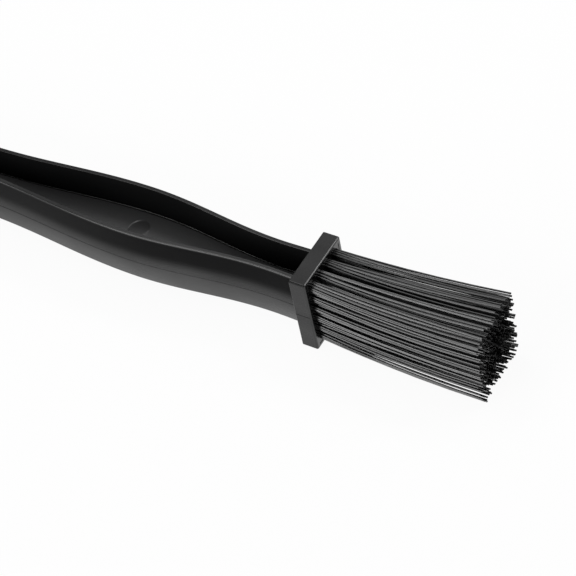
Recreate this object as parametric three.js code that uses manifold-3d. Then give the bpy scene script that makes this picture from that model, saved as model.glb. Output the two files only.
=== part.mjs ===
// A double-ended chain cleaning brush, in millimetres, lying with +Z up.
// +X runs along the handle towards the long bristles, and the origin is under the middle of the brush.
// One moulding carries everything: an I-section handle, a collar at the front and a fork at the back.
// The collar and the fork's three inner faces have pockets, each holding a plate with its tufts.

import * as THREE from 'three';
import { mergeVertices } from 'three/addons/utils/BufferGeometryUtils.js';
import Module from 'manifold-3d';

const wasm = await Module();
wasm.setup();

// Both heads: the collar and the fork are equally tall, so the brush lies flat on them.
const HEAD_HEIGHT = 25.4;
const RIM_WALL = 1;
const COLLAR_WIDTH = 18.6;
const COLLAR_CORNER = 0.5;
const COLLAR_BACK_WALL = 1.2;

// Handle outline: the width across its rims at each station, and the run to the next one.
const COLLAR_END_WIDTH = 10.8;
const NECK_RUN = 10;
const NECK_WIDTH = 10.4;
const GRIP_RUN = 44;
const GRIP_WIDTH = 17.5;
const WAIST_RUN = 54;
const WAIST_WIDTH = 10.8;
const HEEL_RUN = 34;
const HEEL_WIDTH = 14.4;
const YOKE_RUN = 28;
const YOKE_WIDTH = 12;

// Handle section: two drafted side walls joined by a web at the mould's parting line.
const HANDLE_HEIGHT = 18;
const SIDE_WALL = 1.15;
const WEB = 2;
const FLOOR_BELOW_MIDDLE = 0.85;
const PARTING_BELOW_MIDDLE = 1.15;
const PARTING_FLARE = 0.8;
const BOTTOM_TUCK = 0.05;
const FLOOR_TUCK = 0.2;

// Ejector pin marks on both sides of the web, under the widest part of the grip.
const EJECTOR_DIAMETER = 6.6;
const EJECTOR_DEPTH = 0.25;
const EJECTOR_BEHIND_COLLAR = 56;
const EJECTOR_OFFSET = 1;

// Tuft plates and the pockets that they sit in.
const PLATE_RECESS = 0.1;
const PLATE = 2.5;
const LEDGE = 0.4;
const FIT = 0.25;
const TUFT_FIT = 0.15;
const BUTTON = 0.6;
const BUTTON_LIP = 0.15;

// Long brush at the front.
const LONG_TUFT_DIAMETER = 2.6;
const LONG_ROWS = 6;
const LONG_COLUMNS = 4;
const LONG_EDGE = 0.06;
const LONG_BRISTLE = 48.8;
const LONG_TIP_SPLAY = 1.1;
const LONG_TIP_TUCK = 0.4;

// Fork for the chain: two arms and the base between them, with short bristles pointing inwards.
const CHAIN_GAP = 7;
const FORK_BACK_WALL = 1.6;
const FORK_SHOULDER = 12;
const FORK_CORNER = 3;
const ARM_END_WALL = 1.4;
const SHORT_TUFT_DIAMETER = 4.6;
const SHORT_ROWS = 3;
const SHORT_EDGE = 1;
const ARM_COLUMNS = 4;
const ARM_POCKET_WIDTH = 27.4;
const ARM_BRISTLE = 14.5;
const BASE_COLUMNS = 2;
const BASE_POCKET_WIDTH = 14;
const BASE_BRISTLE = 9;
const BASE_TO_ARM_PAD = 2;

// Bristles: the room between neighbouring tips, and how far a tuft's rim falls below its middle.
const TIP_GAP = 0.4;
const TIP_CROWN = 0.6;

// Faceting, and the overlap that makes joins and cuts clean.
const HANDLE_STEPS = 34;
const CORNER_STEPS = 4;
const TUFT_SIDES = 8;
const HOLE_SIDES = 12;
const EJECTOR_SIDES = 24;
const OVERLAP = 0.5;

// Sizes that follow from the ones above.
const SEAT_DEPTH = PLATE_RECESS + PLATE + FIT;
const BUTTON_BACK = PLATE_RECESS + PLATE + TUFT_FIT + BUTTON;
const POCKET_DEPTH = BUTTON_BACK + FIT;
const POCKET_HEIGHT = HEAD_HEIGHT - 2 * RIM_WALL;
const COLLAR_DEPTH = POCKET_DEPTH + COLLAR_BACK_WALL;
const COLLAR_POCKET_WIDTH = COLLAR_WIDTH - 2 * RIM_WALL;
const HANDLE_LENGTH = NECK_RUN + GRIP_RUN + WAIST_RUN + HEEL_RUN + YOKE_RUN;
const FORK_THICKNESS = POCKET_DEPTH + FORK_BACK_WALL;
const FORK_GAP = CHAIN_GAP + 2 * ARM_BRISTLE;
const ARM_PAD_START = BASE_BRISTLE + BASE_TO_ARM_PAD;
const ARM_LENGTH = ARM_PAD_START + ARM_POCKET_WIDTH + ARM_END_WALL + FORK_THICKNESS / 2;
const FORK_FRONT = -HANDLE_LENGTH;
const FORK_BASE = FORK_FRONT - FORK_THICKNESS;
const BRUSH_BACK = FORK_BASE - ARM_LENGTH;
const BRUSH_FRONT = COLLAR_DEPTH + LONG_BRISTLE;

const HANDLE_FINISH = { color: 0x1c1c1d, roughness: 0.55, metalness: 0 };
const PLATE_FINISH = { color: 0x121213, roughness: 0.6, metalness: 0 };
const BRISTLE_FINISH = { color: 0x171718, roughness: 0.4, metalness: 0 };

const ALONG = new THREE.Vector3(1, 0, 0);
const ACROSS = new THREE.Vector3(0, 1, 0);
const UP = new THREE.Vector3(0, 0, 1);

// A closed mesh as a solid that can be joined and cut.
function solidOf(geometry) {
  const bare = geometry.clone();
  bare.deleteAttribute('normal');
  bare.deleteAttribute('uv');
  const merged = mergeVertices(bare);
  return new wasm.Manifold(new wasm.Mesh({
    numProp: 3,
    vertProperties: merged.attributes.position.array,
    triVerts: new Uint32Array(merged.index.array),
  }));
}

// A finished solid as a mesh again.
function geometryOf(solid) {
  const mesh = solid.getMesh();
  const geometry = new THREE.BufferGeometry();
  geometry.setAttribute('position', new THREE.BufferAttribute(mesh.vertProperties, 3));
  geometry.setIndex(new THREE.BufferAttribute(mesh.triVerts, 1));
  geometry.computeVertexNormals();
  return geometry;
}

function namedMesh(name, geometry, finish) {
  const mesh = new THREE.Mesh(geometry, new THREE.MeshStandardMaterial(finish));
  mesh.name = name;
  return mesh;
}

// The handle's width across its rims, as a half cosine wave between stations behind the collar.
function rimWidth(behindCollar) {
  const runs = [NECK_RUN, GRIP_RUN, WAIST_RUN, HEEL_RUN, YOKE_RUN];
  const widths = [COLLAR_END_WIDTH, NECK_WIDTH, GRIP_WIDTH, WAIST_WIDTH, HEEL_WIDTH, YOKE_WIDTH];
  let left = behindCollar;
  let station = 0;
  while (station < runs.length - 1 && left > runs[station]) {
    left -= runs[station];
    station += 1;
  }
  const share = THREE.MathUtils.clamp(left / runs[station], 0, 1);
  const ease = (1 - Math.cos(Math.PI * share)) / 2;
  return THREE.MathUtils.lerp(widths[station], widths[station + 1], ease);
}

// A block along the handle whose sides follow the rims, set out by its own amount at each level.
function waistedBlock(levels) {
  const length = HANDLE_LENGTH + 2 * OVERLAP;
  const layers = levels.length - 1;
  const block = new THREE.BoxGeometry(length, 1, 1, HANDLE_STEPS, 1, layers);
  block.translate(-HANDLE_LENGTH / 2, 0, 0.5);
  const points = block.attributes.position;
  for (let i = 0; i < points.count; i += 1) {
    const level = levels[Math.round(points.getZ(i) * layers)];
    const halfWidth = rimWidth(-points.getX(i)) / 2 + level.out;
    points.setY(i, Math.sign(points.getY(i)) * halfWidth);
    points.setZ(i, level.z);
  }
  return solidOf(block);
}

function ejectorMark(z) {
  const pin = new THREE.CylinderGeometry(
    EJECTOR_DIAMETER / 2, EJECTOR_DIAMETER / 2, 2 * EJECTOR_DEPTH, EJECTOR_SIDES,
  );
  pin.rotateX(Math.PI / 2);
  pin.translate(-EJECTOR_BEHIND_COLLAR, EJECTOR_OFFSET, z);
  return solidOf(pin);
}

// The I-section handle: drafted outer walls, with a channel above the web and one below it.
function handleBeam() {
  const rim = HANDLE_HEIGHT / 2;
  const floor = -FLOOR_BELOW_MIDDLE;
  const webUnderside = floor - WEB;
  const outside = waistedBlock([
    { z: -rim, out: -BOTTOM_TUCK },
    { z: -PARTING_BELOW_MIDDLE, out: PARTING_FLARE },
    { z: rim, out: 0 },
  ]);
  const upperChannel = waistedBlock([
    { z: floor, out: -SIDE_WALL - FLOOR_TUCK },
    { z: rim, out: -SIDE_WALL },
    { z: rim + OVERLAP, out: -SIDE_WALL },
  ]);
  const lowerChannel = waistedBlock([
    { z: -rim - OVERLAP, out: -SIDE_WALL - BOTTOM_TUCK },
    { z: -rim, out: -SIDE_WALL - BOTTOM_TUCK },
    { z: webUnderside, out: -SIDE_WALL - BOTTOM_TUCK - FLOOR_TUCK },
  ]);
  return outside
    .subtract(upperChannel)
    .subtract(lowerChannel)
    .subtract(ejectorMark(floor))
    .subtract(ejectorMark(webUnderside));
}

// The collar's outline is a rectangle with small round corners, drawn out along the brush.
function collarBlock() {
  const y = COLLAR_WIDTH / 2;
  const z = HEAD_HEIGHT / 2;
  const r = COLLAR_CORNER;
  const outline = new THREE.Shape();
  outline.moveTo(y, -z + r);
  outline.lineTo(y, z - r);
  outline.absarc(y - r, z - r, r, 0, Math.PI / 2, false);
  outline.lineTo(-y + r, z);
  outline.absarc(-y + r, z - r, r, Math.PI / 2, Math.PI, false);
  outline.lineTo(-y, -z + r);
  outline.absarc(-y + r, -z + r, r, Math.PI, 1.5 * Math.PI, false);
  outline.lineTo(y - r, -z);
  outline.absarc(y - r, -z + r, r, 1.5 * Math.PI, 2 * Math.PI, false);
  const block = new THREE.ExtrudeGeometry(outline, {
    depth: COLLAR_DEPTH, bevelEnabled: false, curveSegments: CORNER_STEPS,
  });
  block.applyMatrix4(new THREE.Matrix4().makeBasis(ACROSS, UP, ALONG));
  return solidOf(block);
}

// The fork's outline from above is a U with round shoulders, inner corners and arm ends.
function forkBlock() {
  const inner = FORK_GAP / 2;
  const outer = inner + FORK_THICKNESS;
  const armMiddle = inner + FORK_THICKNESS / 2;
  const armRound = FORK_THICKNESS / 2;
  const endX = BRUSH_BACK + armRound;
  const shoulderX = FORK_FRONT - FORK_SHOULDER;
  const shoulderY = outer - FORK_SHOULDER;
  const cornerX = FORK_BASE - FORK_CORNER;
  const cornerY = inner - FORK_CORNER;
  const outline = new THREE.Shape();
  outline.moveTo(FORK_FRONT, -shoulderY);
  outline.lineTo(FORK_FRONT, shoulderY);
  outline.absarc(shoulderX, shoulderY, FORK_SHOULDER, 0, Math.PI / 2, false);
  outline.lineTo(endX, outer);
  outline.absarc(endX, armMiddle, armRound, Math.PI / 2, 1.5 * Math.PI, false);
  outline.lineTo(cornerX, inner);
  outline.absarc(cornerX, cornerY, FORK_CORNER, Math.PI / 2, 0, true);
  outline.lineTo(FORK_BASE, -cornerY);
  outline.absarc(cornerX, -cornerY, FORK_CORNER, 0, -Math.PI / 2, true);
  outline.lineTo(endX, -inner);
  outline.absarc(endX, -armMiddle, armRound, Math.PI / 2, 1.5 * Math.PI, false);
  outline.lineTo(shoulderX, -outer);
  outline.absarc(shoulderX, -shoulderY, FORK_SHOULDER, 1.5 * Math.PI, 2 * Math.PI, false);
  const block = new THREE.ExtrudeGeometry(outline, {
    depth: HEAD_HEIGHT, bevelEnabled: false, curveSegments: 2 * CORNER_STEPS,
  });
  block.translate(0, 0, -HEAD_HEIGHT / 2);
  return solidOf(block);
}

// The pads. In a pad's own frame its rim face is at the origin and its bristles point along +X.
function padPlaces() {
  const armX = FORK_BASE - ARM_PAD_START - ARM_POCKET_WIDTH / 2;
  const short = { diameter: SHORT_TUFT_DIAMETER, rows: SHORT_ROWS, edge: SHORT_EDGE };
  const arm = {
    ...short,
    columns: ARM_COLUMNS,
    pocketWidth: ARM_POCKET_WIDTH,
    bristle: ARM_BRISTLE,
    tipWidth: ARM_POCKET_WIDTH,
    tipHeight: POCKET_HEIGHT,
  };
  return [
    {
      name: 'long',
      x: COLLAR_DEPTH,
      y: 0,
      turn: 0,
      pocketWidth: COLLAR_POCKET_WIDTH,
      diameter: LONG_TUFT_DIAMETER,
      rows: LONG_ROWS,
      columns: LONG_COLUMNS,
      edge: LONG_EDGE,
      bristle: LONG_BRISTLE,
      tipWidth: COLLAR_WIDTH + 2 * LONG_TIP_SPLAY,
      tipHeight: HEAD_HEIGHT - 2 * LONG_TIP_TUCK,
    },
    { ...arm, name: 'left_arm', x: armX, y: FORK_GAP / 2, turn: -Math.PI / 2 },
    { ...arm, name: 'right_arm', x: armX, y: -FORK_GAP / 2, turn: Math.PI / 2 },
    {
      ...short,
      name: 'fork_base',
      x: FORK_BASE,
      y: 0,
      turn: Math.PI,
      columns: BASE_COLUMNS,
      pocketWidth: BASE_POCKET_WIDTH,
      bristle: BASE_BRISTLE,
      tipWidth: BASE_POCKET_WIDTH,
      tipHeight: POCKET_HEIGHT,
    },
  ];
}

const holeDiameter = (pad) => pad.diameter + 2 * TUFT_FIT;
const buttonDiameter = (pad) => holeDiameter(pad) + 2 * BUTTON_LIP;

// The pitch that spreads tufts evenly, with the outer buttons an edge's width inside the ledges.
function tuftPitch(pad, pocketSize, count) {
  const room = pocketSize - 2 * (LEDGE + FIT + pad.edge) - buttonDiameter(pad);
  return room / (count - 1);
}

// Each tuft's place in the plate, and its equal share of the brush's end face.
function tuftPlaces(pad) {
  const columnPitch = tuftPitch(pad, pad.pocketWidth, pad.columns);
  const rowPitch = tuftPitch(pad, POCKET_HEIGHT, pad.rows);
  const cellWidth = pad.tipWidth / pad.columns;
  const cellHeight = pad.tipHeight / pad.rows;
  const places = [];
  for (let row = 0; row < pad.rows; row += 1) {
    for (let column = 0; column < pad.columns; column += 1) {
      const acrossSteps = column - (pad.columns - 1) / 2;
      const upSteps = (pad.rows - 1) / 2 - row;
      places.push({
        name: `${pad.name}_tuft_row${row + 1}_col${column + 1}`,
        y: acrossSteps * columnPitch,
        z: upSteps * rowPitch,
        tipY: acrossSteps * cellWidth,
        tipZ: upSteps * cellHeight,
        tipHalfWidth: (cellWidth - TIP_GAP) / 2,
        tipHalfHeight: (cellHeight - TIP_GAP) / 2,
      });
    }
  }
  return places;
}

// A stepped pocket: the plate fits the wide part and seats on the ledge round the deep part.
function padPocket(pad, matrix) {
  const wideDepth = SEAT_DEPTH + OVERLAP;
  const wide = new THREE.BoxGeometry(wideDepth, pad.pocketWidth, POCKET_HEIGHT);
  wide.translate(wideDepth / 2 - SEAT_DEPTH, 0, 0);
  const deepWidth = pad.pocketWidth - 2 * LEDGE;
  const deep = new THREE.BoxGeometry(POCKET_DEPTH, deepWidth, POCKET_HEIGHT - 2 * LEDGE);
  deep.translate(-POCKET_DEPTH / 2, 0, 0);
  return solidOf(wide.applyMatrix4(matrix)).add(solidOf(deep.applyMatrix4(matrix)));
}

// A plate with one round hole for each tuft. A hole's flats keep the stated diameter.
function plateGeometry(pad, tufts) {
  const block = new THREE.BoxGeometry(PLATE, pad.pocketWidth - 2 * FIT, POCKET_HEIGHT - 2 * FIT);
  block.translate(-PLATE_RECESS - PLATE / 2, 0, 0);
  const radius = holeDiameter(pad) / 2 / Math.cos(Math.PI / HOLE_SIDES);
  const holes = tufts.map((tuft) => {
    const hole = new THREE.CylinderGeometry(radius, radius, PLATE + 2 * OVERLAP, HOLE_SIDES);
    hole.rotateZ(Math.PI / 2);
    hole.translate(-PLATE_RECESS - PLATE / 2, tuft.y, tuft.z);
    return solidOf(hole);
  });
  return geometryOf(holes.reduce((plate, hole) => plate.subtract(hole), solidOf(block)));
}

// A tuft: a fused button behind the plate, a shank through its hole, and bristles that spread
// in a straight taper from the plate to the tuft's share of the end face.
function tuftGeometry(pad, tuft) {
  const shank = pad.diameter / 2;
  const button = buttonDiameter(pad) / 2;
  const profile = [
    new THREE.Vector2(0, -BUTTON_BACK),
    new THREE.Vector2(button, -BUTTON_BACK),
    new THREE.Vector2(button, BUTTON - BUTTON_BACK),
    new THREE.Vector2(shank, BUTTON - BUTTON_BACK),
    new THREE.Vector2(shank, -PLATE_RECESS),
    new THREE.Vector2(shank, pad.bristle - TIP_CROWN),
    new THREE.Vector2(0, pad.bristle),
  ];
  const geometry = new THREE.LatheGeometry(profile, TUFT_SIDES, Math.PI / TUFT_SIDES);
  geometry.applyMatrix4(new THREE.Matrix4().makeBasis(UP, ALONG, ACROSS));
  const flat = shank * Math.cos(Math.PI / TUFT_SIDES);
  const free = pad.bristle - TIP_CROWN + PLATE_RECESS;
  const points = geometry.attributes.position;
  for (let i = 0; i < points.count; i += 1) {
    const share = THREE.MathUtils.clamp((points.getX(i) + PLATE_RECESS) / free, 0, 1);
    const wider = THREE.MathUtils.lerp(1, tuft.tipHalfWidth / flat, share);
    const taller = THREE.MathUtils.lerp(1, tuft.tipHalfHeight / flat, share);
    points.setY(i, THREE.MathUtils.lerp(tuft.y, tuft.tipY, share) + points.getY(i) * wider);
    points.setZ(i, THREE.MathUtils.lerp(tuft.z, tuft.tipZ, share) + points.getZ(i) * taller);
  }
  geometry.computeVertexNormals();
  return geometry;
}

// One pad's plate and tufts, turned to face out of its pocket.
function padGroup(pad) {
  const group = new THREE.Group();
  group.position.set(pad.x, pad.y, 0);
  group.rotation.z = pad.turn;
  group.updateMatrix();
  const tufts = tuftPlaces(pad);
  group.add(namedMesh(`${pad.name}_tuft_plate`, plateGeometry(pad, tufts), PLATE_FINISH));
  tufts.forEach((tuft) => group.add(namedMesh(tuft.name, tuftGeometry(pad, tuft), BRISTLE_FINISH)));
  return group;
}

function chainBrush() {
  const brush = new THREE.Group();
  let moulding = handleBeam().add(collarBlock()).add(forkBlock());
  padPlaces().forEach((pad) => {
    const group = padGroup(pad);
    moulding = moulding.subtract(padPocket(pad, group.matrix));
    brush.add(group);
  });
  brush.add(namedMesh('handle_moulding', geometryOf(moulding), HANDLE_FINISH));
  brush.position.set(-(BRUSH_BACK + BRUSH_FRONT) / 2, 0, HEAD_HEIGHT / 2);
  return brush;
}

export default chainBrush();
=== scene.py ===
"""Dresses a double-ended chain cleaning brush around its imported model, in metres.

The moulding is carried along the brush as smooth grids, and each tuft becomes a bundle of separate filaments.
"""

import logging
import math
from dataclasses import dataclass, field
from enum import Enum
from typing import Any, ClassVar, Mapping, Sequence, Union

import bpy
import numpy as np
from mathutils import Matrix, Vector


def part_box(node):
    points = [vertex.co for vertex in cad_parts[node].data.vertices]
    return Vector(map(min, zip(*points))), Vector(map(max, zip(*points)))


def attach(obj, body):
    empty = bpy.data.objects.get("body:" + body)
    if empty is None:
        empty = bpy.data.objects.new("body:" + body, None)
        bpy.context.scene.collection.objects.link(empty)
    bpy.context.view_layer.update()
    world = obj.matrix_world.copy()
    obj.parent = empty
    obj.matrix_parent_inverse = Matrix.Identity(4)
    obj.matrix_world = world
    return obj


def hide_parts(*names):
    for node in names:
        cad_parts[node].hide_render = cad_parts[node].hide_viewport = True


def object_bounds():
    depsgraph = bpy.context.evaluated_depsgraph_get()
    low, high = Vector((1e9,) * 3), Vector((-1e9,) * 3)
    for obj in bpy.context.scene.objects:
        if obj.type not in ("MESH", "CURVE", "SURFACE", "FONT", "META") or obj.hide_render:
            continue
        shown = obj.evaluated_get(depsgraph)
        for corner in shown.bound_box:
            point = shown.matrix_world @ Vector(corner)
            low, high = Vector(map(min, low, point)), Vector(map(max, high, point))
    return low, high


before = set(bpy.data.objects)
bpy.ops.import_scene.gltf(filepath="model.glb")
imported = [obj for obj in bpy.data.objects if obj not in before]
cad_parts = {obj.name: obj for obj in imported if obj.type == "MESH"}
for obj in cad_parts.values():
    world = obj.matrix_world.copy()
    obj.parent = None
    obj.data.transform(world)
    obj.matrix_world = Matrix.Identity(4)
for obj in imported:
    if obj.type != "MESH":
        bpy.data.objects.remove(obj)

CAD_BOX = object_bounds()
LOG = logging.getLogger("chain_brush")

MM = 0.001
BODY = "root"
MOULDING = "handle_moulding"
COLLAR_DEPTH = 4.8 * MM
FORK_THICKNESS = 5.2 * MM
RIM_WALL = 1.0 * MM
PLATE_FIT = 0.25 * MM
SHARP_ANGLE = math.radians(40.0)
QUARTER = math.pi / 2
UP = np.array([0.0, 0.0, 1.0])
WHITE = (1.0, 1.0, 1.0, 1.0)
# The sockets of a colour mix, whose names repeat.
MIX_SHARE, MIX_FIRST, MIX_SECOND, MIX_COLOUR = 0, 6, 7, 2
# An area lamp's power over its area, for a radiance of 1.
LAMP_POWER = 4.0

Colour = tuple[float, float, float]
Amount = Union[float, np.ndarray]


class Slot(Enum):
    """The record's material slots, one held by each pad."""

    HANDLE = "handle"
    LONG = "long_bristle"
    SHORT = "short_bristle"


class Facing(Enum):
    """The way that a pad's bristles point."""

    FRONT = (1.0, 0.0, 0.0)
    BACK = (-1.0, 0.0, 0.0)
    LEFT = (0.0, 1.0, 0.0)
    RIGHT = (0.0, -1.0, 0.0)


class Value:
    """A shader value for sums: each operator adds one Math node."""

    def __init__(self, graph: "Graph", socket: bpy.types.NodeSocket) -> None:
        """Keeps the graph and the output socket."""
        self.graph = graph
        self.socket = socket

    def _math(self, operation: str, first: "Number", second: "Number") -> "Value":
        """Adds one Math node and gives its result."""
        return self.graph.value("ShaderNodeMath", {0: first, 1: second}, operation=operation)

    def __add__(self, other: "Number") -> "Value":
        """Adds."""
        return self._math("ADD", self, other)

    def __radd__(self, other: "Number") -> "Value":
        """Adds, with the value on the right."""
        return self._math("ADD", other, self)

    def __sub__(self, other: "Number") -> "Value":
        """Takes away."""
        return self._math("SUBTRACT", self, other)

    def __mul__(self, other: "Number") -> "Value":
        """Multiplies."""
        return self._math("MULTIPLY", self, other)

    def __rmul__(self, other: "Number") -> "Value":
        """Multiplies, with the value on the right."""
        return self._math("MULTIPLY", other, self)

    def larger(self, other: "Number") -> "Value":
        """The larger of two values."""
        return self._math("MAXIMUM", self, other)

    def centred(self) -> "Value":
        """The value less 0.5, which is the average of noise and of the strands' own values."""
        return self - 0.5


Number = Union[Value, float]


class Graph:
    """The node tree of one material or of the world."""

    def __init__(self, tree: bpy.types.NodeTree) -> None:
        """Starts from an empty tree."""
        self.tree = tree
        tree.nodes.clear()

    def node(self, kind: str, inputs: Mapping[Any, Any] | None = None, **settings: Any) -> bpy.types.Node:
        """Adds a node.

        Args:
            kind: the node's type.
            inputs: values or links by socket name or number.
            settings: the node's own settings, which are set first.

        Returns:
            The new node.
        """
        made = self.tree.nodes.new(kind)
        for key, setting in settings.items():
            setattr(made, key, setting)
        for key, given in (inputs or {}).items():
            given = given.socket if isinstance(given, Value) else given
            if isinstance(given, bpy.types.NodeSocket):
                self.tree.links.new(given, made.inputs[key])
            else:
                made.inputs[key].default_value = given
        return made

    def value(self, kind: str, inputs: Mapping[Any, Any], **settings: Any) -> Value:
        """Adds a node and gives its first output as a value."""
        return Value(self, self.node(kind, inputs, **settings).outputs[0])

    def noise(self, place: bpy.types.NodeSocket, size: float, detail: float) -> Value:
        """Smooth noise, about 0.5 on average, with patches of a size in metres and finer layers in them."""
        return self.value("ShaderNodeTexNoise", {"Vector": place, "Scale": 1.0 / size, "Detail": detail})

    def blend(self, share: Value, first: Colour, second: Colour) -> bpy.types.NodeSocket:
        """Mixes two colours by a share from 0 to 1."""
        inputs = {MIX_SHARE: share, MIX_FIRST: (*first, 1.0), MIX_SECOND: (*second, 1.0)}
        return self.node("ShaderNodeMix", inputs, data_type="RGBA").outputs[MIX_COLOUR]

    def mix(self, share: Value, first: bpy.types.Node, second: bpy.types.Node) -> bpy.types.Node:
        """Mixes two shaders by a share from 0 to 1."""
        return self.node("ShaderNodeMixShader", {0: share, 1: first.outputs[0], 2: second.outputs[0]})

    def bump(self, height: Value, distance: float) -> bpy.types.NodeSocket:
        """The normal of a surface that a height lifts by up to a distance in metres."""
        inputs = {"Height": height, "Distance": distance, "Strength": 1.0}
        return self.node("ShaderNodeBump", inputs).outputs[0]

    def mark(self, name: str) -> Value:
        """A value that the mesh holds at each point, or 0 where it has none."""
        return Value(self, self.node("ShaderNodeAttribute", attribute_name=name).outputs["Fac"])

    def object_place(self, stretch: Sequence[float] = (1.0, 1.0, 1.0)) -> bpy.types.NodeSocket:
        """Object coordinates for a pattern.

        Args:
            stretch: how many times longer the pattern is along each axis.

        Returns:
            The coordinates' socket.
        """
        place = self.node("ShaderNodeTexCoord").outputs["Object"]
        scale = tuple(1.0 / factor for factor in stretch)
        return self.node("ShaderNodeMapping", {"Vector": place, "Scale": scale}).outputs[0]

    def seen_directly(self) -> Value:
        """Tells what is looked at from what only lights the object.

        Returns:
            1 for camera, glossy and transmission rays, and 0 for the rest.
        """
        path = self.node("ShaderNodeLightPath").outputs
        kinds = ("Camera", "Glossy", "Transmission")
        camera, glossy, through = (Value(self, path[f"Is {kind} Ray"]) for kind in kinds)
        return camera.larger(glossy).larger(through)


@dataclass(frozen=True)
class Finish:
    """A finish that makes one material."""

    name: str

    def shader(self, graph: Graph) -> bpy.types.Node:
        """Builds the finish's shader, in a way of its own."""
        raise NotImplementedError

    def material(self) -> bpy.types.Material:
        """Makes the material.

        Returns:
            A new material with the finish's shader.
        """
        material = bpy.data.materials.new(self.name)
        material.use_nodes = True
        graph = Graph(material.node_tree)
        graph.node("ShaderNodeOutputMaterial", {"Surface": self.shader(graph).outputs[0]})
        return material


@dataclass(frozen=True)
class MouldedPlastic(Finish):
    """Black moulded plastic with faint flow patches, a fine grain, and a gloss of its own if it has any.

    It is glossier where the mesh is marked as polished, and paler where the mesh carries painted light.
    """

    dark: Colour = (0.0035, 0.0035, 0.0036)
    pale: Colour = (0.038, 0.038, 0.0385)
    flow_share: float = 0.1
    roughness: float = 0.33
    roughness_spread: float = 0.1
    specular: float = 0.03
    coat_roughness: float = 0.24
    gloss: float = 0.0
    gloss_spread: float = 1.0
    flow_size: float = 9.0 * MM
    flow_stretch: float = 3.0
    flow_detail: float = 3.0
    grain_size: float = 0.35 * MM
    grain_height: float = 0.012 * MM
    grain_detail: float = 2.0

    def shader(self, graph: Graph) -> bpy.types.Node:
        """Builds the shader: flow and painted light shift its shade, the grain lifts it, and polish coats it.

        Args:
            graph: the material's nodes.

        Returns:
            The shader's node.
        """
        along = graph.object_place((self.flow_stretch, 1.0, 1.0))
        flow = graph.noise(along, self.flow_size, self.flow_detail)
        grain = graph.noise(graph.object_place(), self.grain_size, self.grain_detail)
        # The marked share is painted light: it makes the colour paler where light falls.
        shade = self.flow_share * flow + (1.0 - self.flow_share) * graph.mark("dust")
        polish = (graph.mark("polish") + self.gloss) * (1.0 + self.gloss_spread * flow.centred())
        return graph.node("ShaderNodeBsdfPrincipled", {
            "Base Color": graph.blend(shade, self.dark, self.pale),
            "Roughness": self.roughness + self.roughness_spread * (flow.centred() + grain.centred()),
            "Normal": graph.bump(grain, self.grain_height),
            "Specular IOR Level": self.specular,
            "Coat Weight": polish,
            "Coat Roughness": self.coat_roughness,
        })


@dataclass(frozen=True)
class ExtrudedNylon(Finish):
    """Black nylon filament: a shade and roughness for each strand, a slow drift along it, and a polish."""

    dark: Colour = (0.0015, 0.0015, 0.0016)
    pale: Colour = (0.007, 0.007, 0.0072)
    own_share: float = 0.7
    roughness: float = 0.32
    roughness_spread: float = 0.16
    specular: float = 0.4
    coat_roughness: float = 0.26
    drift_size: float = 3.0 * MM
    drift_height: float = 0.01 * MM
    drift_detail: float = 2.0
    drift_roughness: float = 0.1

    def shader(self, graph: Graph) -> bpy.types.Node:
        """Builds the shader from the strand's own values and the drift.

        Args:
            graph: the material's nodes.

        Returns:
            The shader's node.
        """
        own = graph.mark("strand")
        drift = graph.noise(graph.object_place(), self.drift_size, self.drift_detail)
        shade = self.own_share * own + (1.0 - self.own_share) * drift
        uneven = self.roughness_spread * own.centred() + self.drift_roughness * drift.centred()
        return graph.node("ShaderNodeBsdfPrincipled", {
            "Base Color": graph.blend(shade, self.dark, self.pale),
            "Roughness": self.roughness + uneven,
            "Normal": graph.bump(drift, self.drift_height),
            "Specular IOR Level": self.specular,
            "Coat Weight": graph.mark("polish"),
            "Coat Roughness": self.coat_roughness,
        })


@dataclass(frozen=True)
class CutNylon(Finish):
    """The sawn ends of the filaments: dull and nearly black."""

    dark: Colour = (0.003, 0.003, 0.0031)
    pale: Colour = (0.02, 0.02, 0.0205)
    roughness: float = 0.75
    roughness_spread: float = 0.2
    specular: float = 0.08

    def shader(self, graph: Graph) -> bpy.types.Node:
        """Builds the shader, with a shade for each strand.

        Args:
            graph: the material's nodes.

        Returns:
            The shader's node.
        """
        own = graph.mark("strand")
        return graph.node("ShaderNodeBsdfPrincipled", {
            "Base Color": graph.blend(own * own, self.dark, self.pale),
            "Roughness": self.roughness + self.roughness_spread * own.centred(),
            "Specular IOR Level": self.specular,
        })


@dataclass(frozen=True)
class PaleFloor(Finish):
    """A plain pale floor that stays near white to the eye and keeps the brush's shadow."""

    shade: Colour = (0.82, 0.82, 0.82)
    roughness: float = 0.9
    lift: float = 0.94

    def shader(self, graph: Graph) -> bpy.types.Node:
        """Builds the shader: a matt surface, most of it a plain white where it is seen directly.

        Args:
            graph: the material's nodes.

        Returns:
            The shader's node.
        """
        inputs = {"Color": (*self.shade, 1.0), "Roughness": self.roughness}
        matt = graph.node("ShaderNodeBsdfDiffuse", inputs)
        white = graph.node("ShaderNodeEmission", {"Color": WHITE, "Strength": 1.0})
        return graph.mix(self.lift * graph.seen_directly(), matt, white)


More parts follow.
